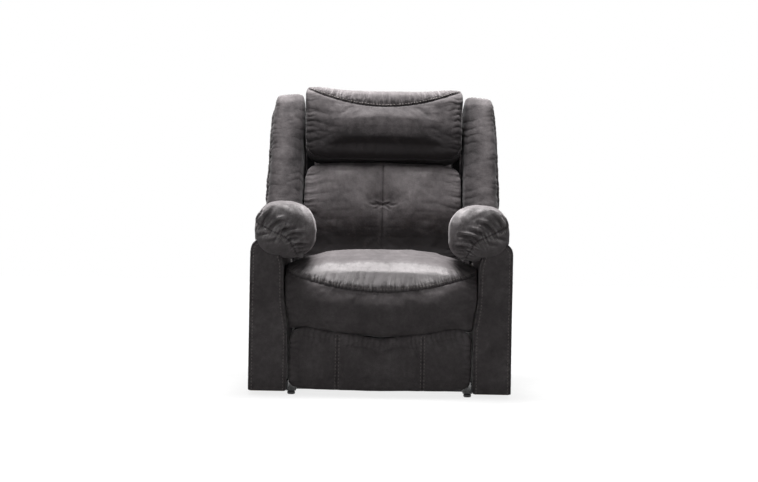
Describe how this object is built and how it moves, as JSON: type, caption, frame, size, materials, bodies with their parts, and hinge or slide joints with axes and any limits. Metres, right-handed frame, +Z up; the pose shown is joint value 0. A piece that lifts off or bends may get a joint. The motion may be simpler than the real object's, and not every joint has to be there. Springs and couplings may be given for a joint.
{
  "type": "recliner armchair",
  "caption": "Upholstered recliner armchair: padded arms, hinged back, seat carriage on swing links and a footrest that folds out on coupled parallelogram linkages.",
  "frame": {"origin": "on the floor under the middle of the chair", "axes": "+Z up, the sitter looks along -Y, +X to the right of a viewer who looks at the front"},
  "size_m": [0.8618, 0.938, 1.0678],
  "materials": {
    "upholstery": "charcoal leather-look microfibre",
    "timber": "unfinished plywood and softwood",
    "link_steel": "satin black painted sheet steel",
    "spring_steel": "bare spring wire",
    "webbing": "woven elastic webbing",
    "glide_plastic": "black moulded nylon",
    "release_plastic": "black moulded plastic"
  },
  "bodies": {
    "base": {"base_rail_left": "link_steel", "base_rail_right": "link_steel", "base_cross_front": "link_steel", "base_cross_rear": "link_steel", "glide_front_left": "glide_plastic", "glide_front_right": "glide_plastic", "glide_rear_left": "glide_plastic", "glide_rear_right": "glide_plastic", "arm_cover_left": "upholstery", "arm_cover_right": "upholstery", "arm_frame_left": "timber", "arm_frame_right": "timber", "arm_pad_left": "upholstery", "arm_pad_right": "upholstery", "release_cup": "release_plastic"},
    "release": {"release_paddle": "release_plastic"},
    "swing_front": {"swing_link_front_left": "link_steel", "swing_link_front_right": "link_steel"},
    "swing_rear": {"swing_link_rear_left": "link_steel", "swing_link_rear_right": "link_steel"},
    "seat": {"seat_plate_left": "link_steel", "seat_plate_right": "link_steel", "seat_side_rail_left": "timber", "seat_side_rail_right": "timber", "seat_front_board": "timber", "seat_rear_rail": "timber", "seat_spring_1": "spring_steel", "seat_spring_2": "spring_steel", "seat_spring_3": "spring_steel", "seat_spring_4": "spring_steel", "seat_spring_5": "spring_steel", "seat_cushion": "upholstery"},
    "back": {"back_bracket_left": "link_steel", "back_bracket_right": "link_steel", "back_post_left": "timber", "back_post_right": "timber", "back_top_rail": "timber", "back_bottom_rail": "timber", "back_webbing_1": "webbing", "back_webbing_2": "webbing", "back_webbing_3": "webbing", "lumbar_cushion": "upholstery", "headrest_pillow": "upholstery", "wing_left": "upholstery", "wing_right": "upholstery", "back_cover": "upholstery"},
    "foot_front_links": {"foot_front_link_left": "link_steel", "foot_front_link_right": "link_steel", "foot_torque_tube": "link_steel"},
    "foot_rear_links": {"foot_rear_link_left": "link_steel", "foot_rear_link_right": "link_steel"},
    "foot_long_links": {"foot_long_link_left": "link_steel", "foot_long_link_right": "link_steel"},
    "foot_guide_links": {"foot_guide_link_left": "link_steel", "foot_guide_link_right": "link_steel"},
    "footrest": {"foot_bracket_left": "link_steel", "foot_bracket_right": "link_steel", "foot_board": "timber", "foot_pad": "upholstery"}
  },
  "joints": [
    {"name": "back_recline", "type": "hinge", "parent": "seat", "child": "back", "pos_m": [0, 0.225, 0.33], "axis": [-1, 0, 0], "range_deg": [0, 36]},
    {"name": "swing_front", "type": "hinge", "parent": "base", "child": "swing_front", "pos_m": [0, -0.15, 0.08], "axis": [1, 0, 0], "range_deg": [0, 24]},
    {"name": "seat_level", "type": "hinge", "parent": "swing_front", "child": "seat", "pos_m": [0, -0.12412, 0.17659], "axis": [1, 0, 0], "range_deg": [-24, 0]},
    {"name": "swing_rear", "type": "hinge", "parent": "base", "child": "swing_rear", "pos_m": [0, 0.15, 0.08], "axis": [1, 0, 0], "range_deg": [0, 24]},
    {"name": "footrest_extend", "type": "hinge", "parent": "seat", "child": "foot_front_links", "pos_m": [0, -0.25, 0.262], "axis": [-1, 0, 0], "range_deg": [0, 100]},
    {"name": "foot_rear_swing", "type": "hinge", "parent": "seat", "child": "foot_rear_links", "pos_m": [0, -0.18892, 0.23977], "axis": [-1, 0, 0], "range_deg": [0, 100]},
    {"name": "foot_long_level", "type": "hinge", "parent": "foot_front_links", "child": "foot_long_links", "pos_m": [0, -0.13528, 0.09817], "axis": [-1, 0, 0], "range_deg": [-100, 0]},
    {"name": "foot_guide_level", "type": "hinge", "parent": "foot_front_links", "child": "foot_guide_links", "pos_m": [0, -0.15593, 0.12766], "axis": [-1, 0, 0], "range_deg": [-100, 0]},
    {"name": "foot_panel_turn", "type": "hinge", "parent": "foot_long_links", "child": "footrest", "pos_m": [0, -0.36551, 0.18196], "axis": [-1, 0, 0], "range_deg": [0, 100]},
    {"name": "release_pull", "type": "hinge", "parent": "base", "child": "release", "pos_m": [-0.421, -0.159, 0.322], "axis": [0, 0, 1], "range_deg": [0, 20], "stiffness_Nm_per_rad": 0.6, "springref_deg": -11.46}
  ],
  "couplings": [
    {"joint": "swing_front", "follows": "back_recline", "ratio": 0.66667},
    {"joint": "seat_level", "follows": "back_recline", "ratio": -0.66667},
    {"joint": "swing_rear", "follows": "back_recline", "ratio": 0.66667},
    {"joint": "foot_rear_swing", "follows": "footrest_extend", "ratio": 1},
    {"joint": "foot_long_level", "follows": "footrest_extend", "ratio": -1},
    {"joint": "foot_guide_level", "follows": "footrest_extend", "ratio": -1},
    {"joint": "foot_panel_turn", "follows": "footrest_extend", "ratio": 1}
  ]
}
